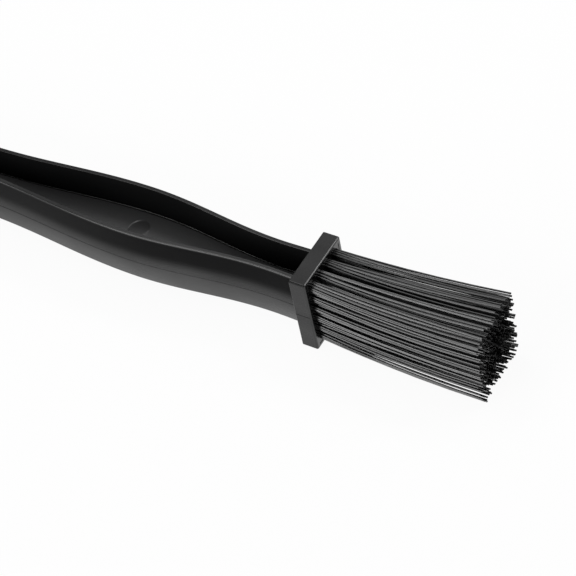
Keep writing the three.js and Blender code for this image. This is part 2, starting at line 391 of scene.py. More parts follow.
@dataclass
class Surface:
    """One mesh as whole arrays, with the values that its finish reads at each point."""

    points: np.ndarray
    quads: np.ndarray
    caps: np.ndarray | Sequence[np.ndarray]
    marks: Mapping[str, np.ndarray] = field(default_factory=dict)

    def piece(
        self, name: str, materials: Sequence[bpy.types.Material], cap_material: int = 0
    ) -> bpy.types.Object:
        """Puts the surface into the scene.

        Args:
            name: the piece's name.
            materials: its materials; the first dresses the quads.
            cap_material: the number of the material that dresses the caps.

        Returns:
            The new object, at the origin.
        """
        mesh = bpy.data.meshes.new(name)
        faces = self.quads.tolist() + [list(map(int, cap)) for cap in self.caps]
        mesh.from_pydata(self.points.tolist(), [], faces)
        for material in materials:
            mesh.materials.append(material)
        numbers = np.zeros(len(faces), np.int32)
        numbers[len(self.quads):] = cap_material
        mesh.polygons.foreach_set("material_index", numbers)
        mesh.polygons.foreach_set("use_smooth", np.ones(len(faces), bool))
        for key, values in self.marks.items():
            mesh.attributes.new(key, "FLOAT", "POINT").data.foreach_set("value", values.astype(np.float32))
        mesh.set_sharp_from_angle(angle=SHARP_ANGLE)
        mesh.update()
        made = bpy.data.objects.new(name, mesh)
        bpy.context.scene.collection.objects.link(made)
        return made


def stand_in(piece: bpy.types.Object, node: str) -> None:
    """Sets a piece on the brush's body, in place of a CAD node.

    Args:
        piece: the piece.
        node: the CAD node that it stands for.
    """
    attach(piece, BODY)
    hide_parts(node)
    LOG.info("%s: %d faces, for %s", piece.name, len(piece.data.polygons), node)


def side_by_side(*values: Amount) -> np.ndarray:
    """Spreads values to one shape and joins them on a last axis, such as x, y and z."""
    return np.stack(np.broadcast_arrays(*values), axis=-1)


def spokes(angle: np.ndarray) -> np.ndarray:
    """Unit vectors at the given angles."""
    return side_by_side(np.cos(angle), np.sin(angle))


def between(first: Amount, second: Amount, share: Amount) -> Amount:
    """Goes evenly from the first value to the second as the share goes from 0 to 1."""
    return first + (second - first) * share


def hump(share: np.ndarray) -> np.ndarray:
    """Goes from 0 up to 1 halfway and back to 0, as 4 t (1 - t)."""
    return 4.0 * share * (1.0 - share)


def smooth_step(value: np.ndarray, start: float, end: float) -> np.ndarray:
    """Goes from 0 at start to 1 at end as 3 t^2 - 2 t^3, where t is the share of the way."""
    share = np.clip((value - start) / (end - start), 0.0, 1.0)
    return share * share * (3.0 - 2.0 * share)


def ring_quads(rows: int, places: int) -> np.ndarray:
    """Faces of a tube-like grid.

    Each row is a closed ring of points, and each quad joins two neighbours of a row to the next row.

    Args:
        rows: the number of rings.
        places: the points on a ring.

    Returns:
        The corner numbers of the quads, one quad to a line.
    """
    row, place = np.meshgrid(places * np.arange(rows - 1), np.arange(places), indexing="ij")
    after = (place + 1) % places
    corners = side_by_side(row + place, row + after, row + places + after, row + places + place)
    return corners.reshape(-1, 4)


def loft(rings: np.ndarray, **marks: np.ndarray) -> Surface:
    """A closed body from rings of points, with a flat cap on its first and last ring.

    Args:
        rings: points by ring, place on the ring and axis, wound so that the faces point outwards.
        marks: values from 0 to 1 for the finish to read, by ring and place on the ring.

    Returns:
        The body's surface.
    """
    rows, places = rings.shape[:2]
    first = np.arange(places)[::-1]
    last = (rows - 1) * places + np.arange(places)
    spread = {name: np.broadcast_to(values, (rows, places)).reshape(-1) for name, values in marks.items()}
    return Surface(rings.reshape(-1, 3), ring_quads(rows, places), [first, last], spread)


def rounded_path(corners: np.ndarray, radii: Sequence[float], steps: int, hold: float) -> np.ndarray:
    """A path whose corners are turned into arcs.

    An arc of the given radius touches both edges of its corner. A holding point on each edge, a short way
    off the arc, keeps the flats flat. A corner with no radius stays a point.

    Args:
        corners: the path's corners, in order.
        radii: each corner's radius.
        steps: the chords of an arc.
        hold: how far the holding points stand off the arc.

    Returns:
        The points of the rounded path.
    """
    pieces = [corners[:1]]
    for before, corner, after, radius in zip(corners[:-2], corners[1:-1], corners[2:], radii[1:-1]):
        if radius == 0.0:
            pieces.append(corner[None])
            continue
        come = (corner - before) / np.linalg.norm(corner - before)
        leave = (after - corner) / np.linalg.norm(after - corner)
        turn = math.atan2(come[0] * leave[1] - come[1] * leave[0], float(come @ leave))
        reach = radius * math.tan(abs(turn) / 2)
        side = math.copysign(1.0, turn)
        centre = corner - reach * come + side * radius * np.array([-come[1], come[0]])
        start = math.atan2(-side * come[0], side * come[1])
        arc = centre + radius * spokes(start + turn * np.linspace(0.0, 1.0, steps + 1))
        pieces += [(corner - (reach + hold) * come)[None], arc, (corner + (reach + hold) * leave)[None]]
    return np.concatenate([*pieces, corners[-1:]])


@dataclass(kw_only=True)
class MouldedPart:
    """A part of the moulding, with the parting groove and the rounded edges that all its parts have."""

    piece_name: ClassVar[str]
    middle: float
    parting: float = -1.15 * MM
    groove_width: float = 0.34 * MM
    groove_depth: float = 0.12 * MM
    hold: float = 0.08 * MM
    arc_steps: int = 5

    def groove_room(self) -> np.ndarray:
        """How far the groove's edge, and the line that keeps the wall beside it flat, lie from its middle."""
        return self.groove_width / 2 + np.array([0.0, self.hold])

    def rounded(self, corners: np.ndarray, radii: Sequence[float]) -> np.ndarray:
        """A profile with its corners rounded by the given radii."""
        return rounded_path(corners, radii, self.arc_steps, self.hold)

    def surface(self) -> Surface:
        """Works out the part's closed surface, in a way of its own."""
        raise NotImplementedError

    def build(self, plastic: bpy.types.Material) -> None:
        """Makes the part, dresses it and sets it in the moulding's place."""
        stand_in(self.surface().piece(self.piece_name, [plastic]), MOULDING)


@dataclass
class EjectorMark:
    """An ejector pin's mark on the web: a disc tilted along the handle, with a smooth step round it."""

    behind: float = 56.0 * MM
    offset: float = 1.0 * MM
    radius: float = 3.3 * MM
    edge: float = 0.6 * MM
    tilt: float = 0.05
    # Painted shade on the disc: less of the web's painted light inside the mark.
    dust: float = 0.6
    polish: float = 0.9
    step: float = 0.15 * MM

    def refine(self, stations: np.ndarray) -> np.ndarray:
        """Brings stations closer together across the mark.

        Args:
            stations: distances behind the collar.

        Returns:
            The distances, with fine steps in place of those across the mark.
        """
        reach = self.radius + 2 * self.edge
        near = np.arange(self.behind - reach, self.behind + reach, self.step)
        kept = stations[np.abs(stations - self.behind) > reach + self.step]
        return np.sort(np.concatenate([kept, near]))

    def at(self, behind: np.ndarray, across: np.ndarray) -> tuple[np.ndarray, np.ndarray, np.ndarray]:
        """What the mark does to points of the web.

        Args:
            behind: distances behind the collar.
            across: distances from the handle's middle line.

        Returns:
            How far each point is lifted, how far it lies inside the mark, and how worn it is, both from 0
            to 1. The wear is greatest halfway up the step, at the disc's front and back.
        """
        along = self.behind - behind
        radius = np.hypot(along, across - self.offset)
        inside = smooth_step(radius, self.radius, self.radius - self.edge)
        return inside * self.tilt * along, inside, hump(inside) * (along / self.radius) ** 2


@dataclass(kw_only=True)
class HandleBeam(MouldedPart):
    """The I-section handle: two drafted walls with rounded rims, joined by a web at the parting line.

    The polish of a rim is given for its top and for its two edges.
    """

    piece_name: ClassVar[str] = "handle_beam"
    front: float
    mark: EjectorMark = field(default_factory=EjectorMark)
    runs: tuple[float, ...] = (10.0 * MM, 44.0 * MM, 54.0 * MM, 34.0 * MM, 28.0 * MM)
    widths: tuple[float, ...] = (10.8 * MM, 10.4 * MM, 17.5 * MM, 10.8 * MM, 14.4 * MM, 12.0 * MM)
    rim: float = 9.0 * MM
    wall: float = 1.15 * MM
    floor: float = -0.85 * MM
    web: float = 2.0 * MM
    flare: float = 0.8 * MM
    bottom_tuck: float = 0.05 * MM
    floor_tuck: float = 0.2 * MM
    upper_bend: float = 1.45
    lower_bend: float = 1.5
    rim_outer_round: float = 0.35 * MM
    rim_inner_round: float = 0.14 * MM
    bottom_round: float = 0.45 * MM
    fillet: float = 0.22 * MM
    wall_steps: int = 9
    wall_top: float = 0.94
    floor_steps: int = 72
    overlap: float = 0.5 * MM
    station_step: float = 1.5 * MM
    swell_polish: float = 0.74
    swell_reach: float = 0.48
    swell_full: float = 0.08
    rim_start: float = 0.94
    rim_full: float = 0.98
    rim_edge: float = 0.5
    left_rim_polish: tuple[float, float] = (0.25, 0.45)
    right_rim_polish: tuple[float, float] = (0.4, 1.0)
    fillet_polish: float = 1.0
    fillet_reach: float = 0.45
    floor_polish: float = 0.3
    # Painted light on the web's floor: its colour is made paler than the rest of the plastic.
    floor_dust: float = 1.0
    fade_start: float = 40.0 * MM
    fade_end: float = 75.0 * MM
    fade_least: float = 0.6

    def length(self) -> float:
        """The handle's length between the collar and the fork."""
        return float(np.sum(self.runs))

    def half_width(self, behind: np.ndarray) -> np.ndarray:
        """Half the width across the rims: a half cosine wave from one station to the next.

        Args:
            behind: distances behind the collar.

        Returns:
            The half width at each distance.
        """
        stations = np.concatenate([[0.0], np.cumsum(self.runs)])
        widths = np.array(self.widths)
        place = np.clip(behind, 0.0, stations[-1])
        run = np.clip(np.searchsorted(stations, place, side="right") - 1, 0, len(self.runs) - 1)
        share = (place - stations[run]) / np.array(self.runs)[run]
        ease = (1.0 - np.cos(np.pi * share)) / 2.0
        return between(widths[run], widths[run + 1], ease) / 2.0

    def half_section(self) -> np.ndarray:
        """One wall and half of the web, from the web's underside round to its floor.

        The upper wall bulges from the rim to the parting line as flare x (1 - s^bend), where s goes from 0
        at the line to 1 at the rim, and the lower wall tucks in below it in the same way. A fine groove
        marks the line.

        Returns:
            Points as distance out from the rim line and height above the middle.
        """
        share = np.concatenate([[0.0], np.linspace(self.hold / self.rim, self.wall_top, self.wall_steps)])
        room = self.groove_width / 2
        up_out = self.flare * (1.0 - share ** self.upper_bend)
        down_out = between(self.flare, -self.bottom_tuck, share ** self.lower_bend)
        underside = self.floor - self.web
        inner = -self.wall - self.floor_tuck
        corners = np.concatenate([
            [[inner - self.bottom_tuck - 2 * self.fillet, underside]],
            [[inner - self.bottom_tuck, underside]],
            [[-self.wall - self.bottom_tuck, -self.rim]],
            [[-self.bottom_tuck, -self.rim]],
            side_by_side(down_out, between(self.parting - room, -self.rim, share))[::-1],
            [[self.flare - self.groove_depth, self.parting]],
            side_by_side(up_out, between(self.parting + room, self.rim, share)),
            [[0.0, self.rim]],
            [[-self.wall, self.rim]],
            [[inner, self.floor]],
            [[inner - 2 * self.fillet, self.floor]],
        ])
        radii = np.zeros(len(corners))
        radii[[1, 2, 3]] = self.fillet, self.rim_inner_round, self.bottom_round
        radii[[-4, -3, -2]] = self.rim_outer_round, self.rim_inner_round, self.fillet
        return self.rounded(corners, radii)

    def stations(self) -> np.ndarray:
        """Distances behind the collar, closer together across the ejector mark.

        Returns:
            The distances, from just inside the collar to just inside the fork.
        """
        length = self.length()
        count = round(length / self.station_step)
        return self.mark.refine(np.linspace(-self.overlap, length + self.overlap, count))

    def polish(self, section: np.ndarray, rim_polish: tuple[float, float]) -> np.ndarray:
        """How far handling has polished each point of the section.

        The swell at the parting line and all below it shine, and so do the upper rims and the fillets at
        the web. The polish fades up the outer wall over a set share of its height, and the groove and the
        walls inside the channels have none.

        Args:
            section: points as distance out from the rim line and height above the middle.
            rim_polish: the polish on the top of the rim, and at its two edges.

        Returns:
            A value from 0 to 1 for each point.
        """
        out, height = section.T
        up = (height - self.parting) / (self.rim - self.parting)
        swell = self.swell_polish * smooth_step(up, self.swell_reach, self.swell_full)
        from_top = np.abs(2.0 * out / self.wall + 1.0)
        edge = between(*rim_polish, smooth_step(from_top, self.rim_edge, 1.0))
        rim = edge * smooth_step(up, self.rim_start, self.rim_full)
        outside = smooth_step(out, -self.wall, -self.wall / 2)
        from_web = np.abs(height - (self.floor - self.web / 2)) - self.web / 2
        fillet = self.fillet_polish * (np.abs(from_web / self.fillet - 0.5) < self.fillet_reach)
        grooved = np.abs(height - self.parting) < self.groove_width / 4
        return np.maximum(rim, swell * outside * ~grooved + fillet * (1.0 - outside))

    def surface(self) -> Surface:
        """Carries the section along the handle.

        A section point lies at side x half width + out across the brush, where side is +1 on the left wall,
        -1 on the right one, and runs evenly between them over the web.

        Returns:
            The handle's closed surface.
        """
        half = self.half_section()
        behind = self.stations()[::-1]
        web = np.linspace(1.0, -1.0, self.floor_steps + 1)[1:-1]
        wall, flat = np.ones(len(half)), np.ones(len(web))
        side = np.concatenate([wall, web, -wall, -web])
        out = np.concatenate([half[:, 0], web * half[-1, 0], -half[::-1, 0], -web * half[0, 0]])
        height = np.concatenate([half[:, 1], flat * half[-1, 1], half[::-1, 1], flat * half[0, 1]])
        on_floor = np.concatenate([wall * 0.0, flat, wall * 0.0, flat])
        across = side * self.half_width(behind)[:, None] + out
        lift, marked, worn = self.mark.at(behind[:, None], across)
        lift = on_floor * np.sign(height - (self.floor - self.web / 2)) * lift
        rings = side_by_side((self.front - behind)[:, None], across, self.middle + height + lift)
        # Painted light on the web, with less of it inside the ejector mark as painted shade.
        dust = on_floor * between(self.floor_dust, self.mark.dust, marked)
        left, right = (self.polish(half, rim) for rim in (self.left_rim_polish, self.right_rim_polish))
        polish = np.concatenate([left, flat * self.floor_polish, right[::-1], flat * self.floor_polish])
        fade = between(1.0, self.fade_least, smooth_step(behind, self.fade_start, self.fade_end))
        polish = np.maximum(polish * fade[:, None], self.mark.polish * on_floor * worn)
        return loft(rings, polish=polish, dust=dust)


@dataclass(kw_only=True)
class Collar(MouldedPart):
    """The rectangular collar, with a pocket in its front for the long bristles' plate."""

    piece_name: ClassVar[str] = "bristle_collar"
    back: float
    front: float
    half_width: float
    half_height: float
    parting: float = 0.0
    corner: float = 0.5 * MM
    corner_least: float = 0.2 * MM
    wall: float = 1.2 * MM
    pocket: float = 3.6 * MM
    back_round: float = 0.2 * MM
    front_round: float = 0.48 * MM
    inner_round: float = 0.05 * MM
    cap_inset: float = 2.5 * MM
    corner_steps: int = 6
    side_lines: tuple[float, float] = (-0.5, 0.4)
    top_lines: tuple[float, float] = (-0.4, 0.4)
    side_polish: float = 0.6
    top_polish: float = 0.34
    corner_polish: float = 0.0

    def outline(self) -> tuple[np.ndarray, np.ndarray, np.ndarray, np.ndarray]:
        """The outline, anticlockwise as seen from the front: four sides, each with the corner after it.

        Returns:
            Each point's share of the way to the corner's centre, across and up, its direction from that
            centre, and whether it lies in the parting groove.
        """
        straight = self.half_height - self.corner
        room = self.groove_room()
        groove = (self.parting + np.concatenate([-room, [0.0], room])) / straight
        near = 1.0 - self.hold / straight
        side = np.sort(np.concatenate([[-near, *self.side_lines, near], groove]))
        top = np.array([-near, *self.top_lines, near])
        arc = np.linspace(0.0, QUARTER, self.corner_steps + 1)
        quarters = ((side, 1, 0), (top, 0, 1), (-side[::-1], -1, 0), (top, 0, -1))
        rows = []
        for number, (lines, over, rise) in enumerate(quarters):
            place = np.concatenate([lines, np.ones(len(arc))])
            turn = number * QUARTER + np.concatenate([0.0 * lines, arc])
            rows.append((over - rise * place, rise + over * place, turn))
        across, up, turn = (np.concatenate(values) for values in zip(*rows))
        grooved = np.isclose(np.sin(turn), 0.0) & np.isclose(up, self.parting / straight)
        return across, up, turn, grooved

    def profile(self) -> np.ndarray:
        """The collar's wall in section, from the back face over the rim to the pocket's floor.

        Returns:
            Points as distance in from the outline and place along the brush.
        """
        floor = self.front - self.pocket
        corners = np.array([
            [self.cap_inset, self.back],
            [0.0, self.back],
            [0.0, self.front],
            [self.wall, self.front],
            [self.wall, floor],
            [self.cap_inset, floor],
        ])
        radii = (0.0, self.back_round, self.front_round, self.inner_round, self.inner_round, 0.0)
        return self.rounded(corners, radii)

    def surface(self) -> Surface:
        """Carries the wall's section round the outline.

        A point lies at its corner centre plus the corner's radius in its own direction. An inset brings the
        centre in, and takes the radius down to its least.

        Returns:
            The collar's closed surface.
        """
        across, up, turn, grooved = self.outline()
        inset, along = self.profile().T[:, :, None]
        on_wall = (along > self.back + self.back_round) & (along < self.front - self.front_round)
        inset = inset + self.groove_depth * grooved * ((inset < self.hold / 2) & on_wall)
        radius = np.maximum(self.corner - inset, self.corner_least)
        y = across * (self.half_width - inset - radius) + radius * np.cos(turn)
        z = up * (self.half_height - inset - radius) + radius * np.sin(turn)
        edge = self.front - self.front_round
        face = smooth_step(along, edge - self.hold, edge + self.front_round / 2)
        flats = between(self.side_polish, self.top_polish, np.sin(turn) ** 2)
        outside = between(flats, self.corner_polish, np.sin(2.0 * turn) ** 2)
        polish = np.maximum(face, outside * (inset < self.wall / 2) * ~grooved)
        return loft(side_by_side(along, y, self.middle + z), polish=polish)


@dataclass(kw_only=True)
class ChainFork(MouldedPart):
    """The U-shaped fork that goes over a chain, with a pocket in each of its three inner faces."""

    piece_name: ClassVar[str] = "chain_fork"
    front: float
    back: float
    inner: float
    outer: float
    low: float
    high: float
    arm_pocket: tuple[float, float]
    base_pocket: float
    groove_width: float = 0.24 * MM
    groove_depth: float = 0.08 * MM
    shoulder: float = 12.0 * MM
    corner: float = 3.0 * MM
    wall: float = RIM_WALL
    pocket: float = 3.6 * MM
    edge_round: float = 0.45 * MM
    pocket_chamfer: float = 0.14 * MM
    cap_inset: float = 1.2 * MM
    slant: float = 0.01 * MM
    bend_steps: int = 14
    face_polish: float = 0.7
    top_polish: float = 0.3
    edge_polish: float = 0.9

    def edge_lines(self, low: float, high: float) -> np.ndarray:
        """Lines that draw a pocket from its low edge to its high edge, the chamfers included."""
        offsets = np.array([-self.pocket_chamfer, 0.0, self.slant])
        return np.concatenate([low + offsets, high - offsets[::-1]])

    def pocket_depth(self, place: np.ndarray, low: float, high: float) -> np.ndarray:
        """A pocket's depth: a small chamfer outside each edge, then the full depth inside it.

        Args:
            place: places across the pocket.
            low: its low edge.
            high: its high edge.

        Returns:
            The depth at each place.
        """
        inside = np.minimum(place - low, high - place)
        levels = (0.0, self.pocket_chamfer, self.pocket)
        return np.interp(inside, (-self.pocket_chamfer, 0.0, self.slant), levels)

    def bend(
        self, centre: tuple[float, float], radius: float, start: float, turn: float
    ) -> tuple[np.ndarray, np.ndarray, np.ndarray]:
        """An arc of the outline.

        Args:
            centre: its centre along the brush and across it.
            radius: its radius.
            start: the direction of its first point from the centre.
            turn: the angle that it runs through, below 0 for a hollow corner.

        Returns:
            The points, their outward normals, and no depth for any of them.
        """
        spoke = spokes(start + turn * np.linspace(0.0, 1.0, self.bend_steps + 1))
        return np.array(centre) + radius * spoke, spoke * math.copysign(1.0, turn), np.zeros(len(spoke))

    def outline(self) -> tuple[np.ndarray, np.ndarray, np.ndarray]:
        """The U from above, anticlockwise from the left end of its front face.

        The left half runs round the shoulder, the arm's end, its inner face and the inner corner. After the
        base between the arms comes the right half, which is the left one mirrored and run backwards.

        Returns:
            The points, their outward normals, and the depth of the pocket that each may be sunk by.
        """
        thick = self.outer - self.inner
        base = self.front - thick
        shoulder = (self.front - self.shoulder, self.outer - self.shoulder)
        end = (self.back + thick / 2, (self.inner + self.outer) / 2)
        corner = (base - self.corner, self.inner - self.corner)
        arm_x = self.edge_lines(*self.arm_pocket)
        arm_depth = self.pocket_depth(arm_x, *self.arm_pocket)
        base_y = self.edge_lines(-self.base_pocket, self.base_pocket)[::-1]
        base_depth = self.pocket_depth(base_y, -self.base_pocket, self.base_pocket)
        left = [
            self.bend(shoulder, self.shoulder, 0.0, QUARTER),
            self.bend(end, thick / 2, QUARTER, 2 * QUARTER),
            (side_by_side(arm_x, self.inner), side_by_side(0.0 * arm_x, -1.0), arm_depth),
            self.bend(corner, self.corner, QUARTER, -QUARTER),
        ]
        middle = (side_by_side(base, base_y), side_by_side(-1.0, 0.0 * base_y), base_depth)
        flip = np.array([1.0, -1.0])
        right = [(spots[::-1] * flip, ways[::-1] * flip, sunk[::-1]) for spots, ways, sunk in left[::-1]]
        points, normals, depths = (np.concatenate(rows) for rows in zip(*left, middle, *right))
        return points, normals, depths

    def profile(self) -> np.ndarray:
        """The fork's side from its underside to its top, with round edges and the parting groove.

        Returns:
            Points as distance in from the outline and height.
        """
        parting = self.middle + self.parting
        room = self.groove_room()
        pocket = self.edge_lines(self.low + self.wall, self.high - self.wall)
        levels = np.sort(np.concatenate([pocket, parting - room, parting + room]))
        plain = side_by_side(0.0, levels)
        split = int(np.searchsorted(levels, parting))
        corners = np.concatenate([
            [[self.cap_inset, self.low], [0.0, self.low]],
            plain[:split],
            [[self.groove_depth, parting]],
            plain[split:],
            [[0.0, self.high], [self.cap_inset, self.high]],
        ])
        radii = np.zeros(len(corners))
        radii[[1, -2]] = self.edge_round
        return self.rounded(corners, radii)

    def surface(self) -> Surface:
        """Carries the outline up the side's profile.

        A point is the outline's point moved in along its normal by the profile's inset. On the three inner
        faces it is sunk further, by the smaller of the pocket's depth along the face and up it.

        Returns:
            The fork's closed surface.
        """
        points, normals, depths = self.outline()
        inset, height = self.profile().T[:, :, None]
        sunk = np.minimum(self.pocket_depth(height, self.low + self.wall, self.high - self.wall), depths)
        x, y = points.T[:, None] - normals.T[:, None] * np.maximum(inset, sunk)
        at_edge = (height < self.low + self.wall) | (height > self.high - self.wall)
        worn = np.clip(inset / self.edge_round, 0.0, 1.0) * at_edge
        flats = between(self.face_polish, self.top_polish, worn)
        polish = between(flats, self.edge_polish, hump(worn))
        return loft(side_by_side(x, y, height), polish=polish * (sunk < self.pocket_chamfer))


@dataclass
class TuftCell:
    """Where one tuft stands: its root and tip, and half the width and height that its tips spread over."""

    node: str
    root: np.ndarray
    tip: np.ndarray
    spread: np.ndarray


@dataclass
class TuftPad:
    """The tufts of one plate, each a bundle of separate filaments.

    Each tuft's place is read off its CAD solid, whose back end is the root and whose front end is the tips'
    spread. A tuft that splays off is named with the share of its spread that its tips fill, and their shift
    across and up, and a tuft that is duller than the rest with the share of its polish that it keeps.
    """

    name: str
    facing: Facing
    slot: Slot
    rows: int
    columns: int
    tuft_radius: float
    rings: tuple[tuple[int, float], ...]
    stations: int
    seed: int
    strand_radius: float = 0.27 * MM
    sides: int = 6
    back_depth: float = 0.1 * MM
    root_sink: float = 2.0 * MM
    crowding: float = 1.5
    ring_turn: float = 0.0
    turn_spread: float = math.pi
    jitter: float = 0.05
    clump: float = 0.2
    tuft_stray: float = 0.25 * MM
    stray: float = 0.28 * MM
    bow: float = 0.12 * MM
    uneven: float = 0.5 * MM
    uneven_most: float = 2.6 * MM
    opening: float = 2.0
    crown: float = 0.7 * MM
    squareness: float = 16.0
    edge_room: float = 0.0
    splay: Mapping[str, tuple[float, float, float]] = field(default_factory=dict)
    dull: Mapping[str, float] = field(default_factory=dict)
    lean: tuple[float, float] = (0.0, 0.0)
    sag: tuple[float, float] = (0.0, 0.0)
    polish_start: float = 0.6
    polish_full: float = 0.9
    polish_least: float = 0.2
    rng: np.random.Generator = field(init=False)
    cells: list[TuftCell] = field(init=False)

    def __post_init__(self) -> None:
        """Starts the pad's random numbers, and reads its tufts' places row by row."""
        self.rng = np.random.default_rng(self.seed)
        self.cells = [self.cell(row + 1, column + 1) for row, column in np.ndindex(self.rows, self.columns)]

    def ahead(self) -> np.ndarray:
        """The direction that the bristles point in."""
        return np.array(self.facing.value)

    def axes(self) -> np.ndarray:
        """The two directions of the pad's face: the level one and the upright one."""
        return np.stack([np.cross(UP, self.ahead()), UP])

    def cell(self, row: int, column: int) -> TuftCell:
        """Reads a tuft's place off its CAD solid.

        Args:
            row: the tuft's row.
            column: its column.

        Returns:
            The middle of its back face and of its front end, and that end's half width and half height.
        """
        node = f"{self.name}_tuft_row{row}_col{column}"
        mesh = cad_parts[node].data
        flat = np.empty(3 * len(mesh.vertices))
        mesh.vertices.foreach_get("co", flat)
        places = flat.reshape(-1, 3)
        depth = places @ self.ahead()
        back = places[depth < depth.min() + self.back_depth]
        front = places[depth > depth.max() - self.crown]
        root, tip = ((part.max(axis=0) + part.min(axis=0)) / 2 for part in (back, front))
        spread = np.abs(self.axes() @ (front.max(axis=0) - front.min(axis=0))) / 2
        lift = depth.max() - tip @ self.ahead()
        return TuftCell(node, root, tip + lift * self.ahead(), spread)

    def disc(self) -> np.ndarray:
        """Places of the filaments in a unit disc.

        They stand evenly on rings of set counts and radii. Each ring is turned at random about a set angle,
        and each place is moved a little, but not out of the disc.

        Returns:
            The places, across and up.
        """
        counts, radii = zip(*self.rings)
        turns = self.ring_turn + self.rng.normal(0.0, self.turn_spread, len(counts))
        evenly = np.concatenate([2.0 * np.pi * np.arange(count) / count for count in counts])
        places = np.repeat(radii, counts)[:, None] * spokes(np.repeat(turns, counts) + evenly)
        places = places + self.rng.normal(0.0, self.jitter, places.shape)
        return places / np.maximum(np.linalg.norm(places, axis=-1, keepdims=True), 1.0)

    def hold_in(self, places: np.ndarray, way: np.ndarray) -> np.ndarray:
        """Brings points of the filaments inside the pad's rounded outline.

        The outline is a superellipse that grows evenly from one round all the roots to one round all the
        tips' spreads, less some room at the edge. A point outside it is drawn straight in to it.

        Args:
            places: points by filament and station, across and up.
            way: each station's share of the way to the tips, one to a line.

        Returns:
            The points, held in.
        """
        roots = np.stack([cell.root for cell in self.cells]) @ self.axes().T
        tips = np.stack([cell.tip for cell in self.cells]) @ self.axes().T
        spreads = np.stack([cell.spread for cell in self.cells]) - self.edge_room
        low = between(roots.min(axis=0) - self.tuft_radius, (tips - spreads).min(axis=0), way)
        high = between(roots.max(axis=0) + self.tuft_radius, (tips + spreads).max(axis=0), way)
        middle, half = (low + high) / 2, (high - low) / 2 - self.strand_radius
        powers = np.abs((places - middle) / half) ** self.squareness
        far = powers.sum(axis=-1, keepdims=True) ** (1.0 / self.squareness)
        return middle + (places - middle) / np.maximum(far, 1.0)

    def paths(self, disc: np.ndarray, cell: TuftCell) -> np.ndarray:
        """Middle lines of a tuft's filaments.

        The tuft's middle goes straight from its root to its tip. Its filaments open out from the root's disc
        to the tip's spread as 1 - (1 - t)^opening. The whole tuft's tips draw together and stray by amounts
        of their own, and each tip strays a little more. A filament bows and sags sideways as 4 t (1 - t),
        leans over as t^2, and ends a little short. Its stations crowd towards the root.

        Args:
            disc: the filaments' places in a unit disc.
            cell: the tuft's place.

        Returns:
            Points by filament, station and axis.
        """
        fill = 1.0 - self.rng.uniform(0.0, self.clump)
        stray = self.rng.normal(0.0, self.tuft_stray, 2)
        if cell.node in self.splay:
            fill, *stray = self.splay[cell.node]
        stray = np.array(stray) + self.rng.normal(0.0, self.stray, disc.shape)
        bow = self.rng.normal(0.0, self.bow, disc.shape)
        short = np.minimum(np.abs(self.rng.normal(0.0, self.uneven, len(disc))), self.uneven_most)
        share = np.linspace(0.0, 1.0, self.stations) ** self.crowding
        way = share[:, None]
        sway = hump(way)
        closed = disc * (self.tuft_radius - self.strand_radius)
        opened = disc * cell.spread * fill
        spread = between(opened[:, None], closed[:, None], (1.0 - way) ** self.opening)
        line = between(cell.root, cell.tip, way) @ self.axes().T
        side = self.hold_in(line + spread + stray[:, None] * way + bow[:, None] * sway, way)
        side = side + np.array(self.sag) * sway + np.array(self.lean) * way ** 2
        start = cell.root @ self.ahead() + self.root_sink
        reach = between(start, (cell.tip @ self.ahead() - short)[:, None], share)
        return reach[..., None] * self.ahead() + side @ self.axes()

    def tuft(self, cell: TuftCell) -> Surface:
        """Carries a small ring along each filament's middle line, and closes both ends.

        Args:
            cell: the tuft's place.

        Returns:
            The tuft's surface, whose caps are the filaments' ends.
        """
        disc = self.disc()
        paths = self.paths(disc, cell)
        floor, roof = CAD_BOX[0].z + self.strand_radius, CAD_BOX[1].z - self.strand_radius
        paths[..., 2] = np.clip(paths[..., 2], floor, roof)
        around = np.arange(self.sides)
        ring = self.strand_radius * spokes(2.0 * np.pi * around / self.sides) @ self.axes()
        points = paths[:, :, None, :] + ring
        count, each = len(paths), self.stations * self.sides
        first = np.arange(count)[:, None] * each
        quads = (first[:, :, None] + ring_quads(self.stations, self.sides)).reshape(-1, 4)
        caps = np.concatenate([first + around[::-1], first + each - self.sides + around])
        strand = self.rng.uniform(0.0, 1.0, count)
        outer = smooth_step(np.linalg.norm(disc, axis=-1), self.polish_start, self.polish_full)
        polish = self.dull.get(cell.node, 1.0) * outer * self.rng.uniform(self.polish_least, 1.0, count)
        marks = {"strand": np.repeat(strand, each), "polish": np.repeat(polish, each)}
        return Surface(points.reshape(-1, 3), quads, caps, marks)

    def build(self, nylon: bpy.types.Material, cut: bpy.types.Material) -> None:
        """Makes the pad's tufts, row by row, and dresses them.

        Args:
            nylon: the filaments' finish.
            cut: the finish of their ends.
        """
        for cell in self.cells:
            piece = self.tuft(cell).piece(f"{cell.node}_filaments", [nylon, cut], cap_material=1)
            stand_in(piece, cell.node)


def long_pad() -> TuftPad:
    """The long pad in the collar, with three tufts that splay off at a lower corner and four dull ones.

    Returns:
        The pad.
    """
    return TuftPad(
        "long", Facing.FRONT, Slot.LONG, rows=6, columns=4, tuft_radius=1.42 * MM, stations=8, seed=11,
        rings=((3, 0.35), (11, 1.0)), ring_turn=math.radians(142.6), turn_spread=math.radians(4.0),
        lean=(0.4 * MM, 0.5 * MM), sag=(-0.35 * MM, -0.35 * MM), edge_room=0.4 * MM,
        splay={
            "long_tuft_row6_col1": (0.75, -0.1 * MM, -0.3 * MM),
            "long_tuft_row5_col1": (0.85, 0.0, 0.4 * MM),
            "long_tuft_row6_col2": (0.75, 0.2 * MM, 0.5 * MM),
        },
        dull={
            "long_tuft_row1_col4": 0.3,
            "long_tuft_row1_col3": 0.5,
            "long_tuft_row5_col1": 0.7,
            "long_tuft_row6_col1": 0.6,
        },
    )


